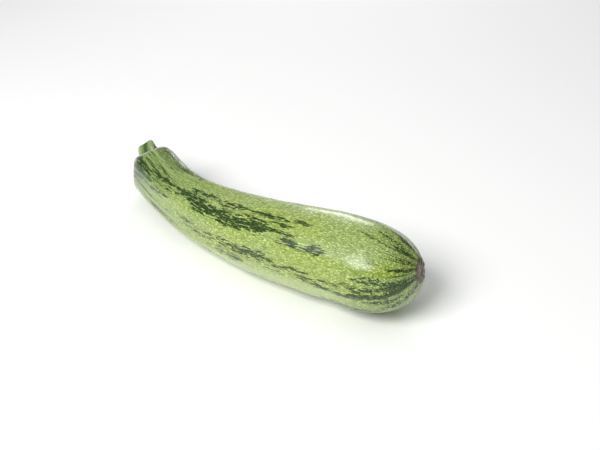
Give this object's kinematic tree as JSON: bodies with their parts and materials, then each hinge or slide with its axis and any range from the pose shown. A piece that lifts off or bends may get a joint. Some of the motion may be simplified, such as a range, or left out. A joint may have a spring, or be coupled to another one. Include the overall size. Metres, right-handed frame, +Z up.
{
  "type": "courgette",
  "caption": "Curved, club-shaped courgette with a ribbed, mottled skin, a corky blossom scar and a short ridged stalk cut on the slant, lying on its side.",
  "frame": {"origin": "on the surface that the courgette lies on, under the middle of its box", "axes": "+X from the stalk towards the blossom end, +Y towards the inside of the bend, +Z up"},
  "size_m": [0.2004, 0.0548, 0.0411],
  "materials": {
    "courgette_skin": "waxy, soft semi-gloss skin, light green with pale flecks and broken dark green streaks; the stalk is duller, with a pale fibrous cut end"
  },
  "bodies": {
    "root": {"courgette": "courgette_skin"}
  },
  "joints": []
}
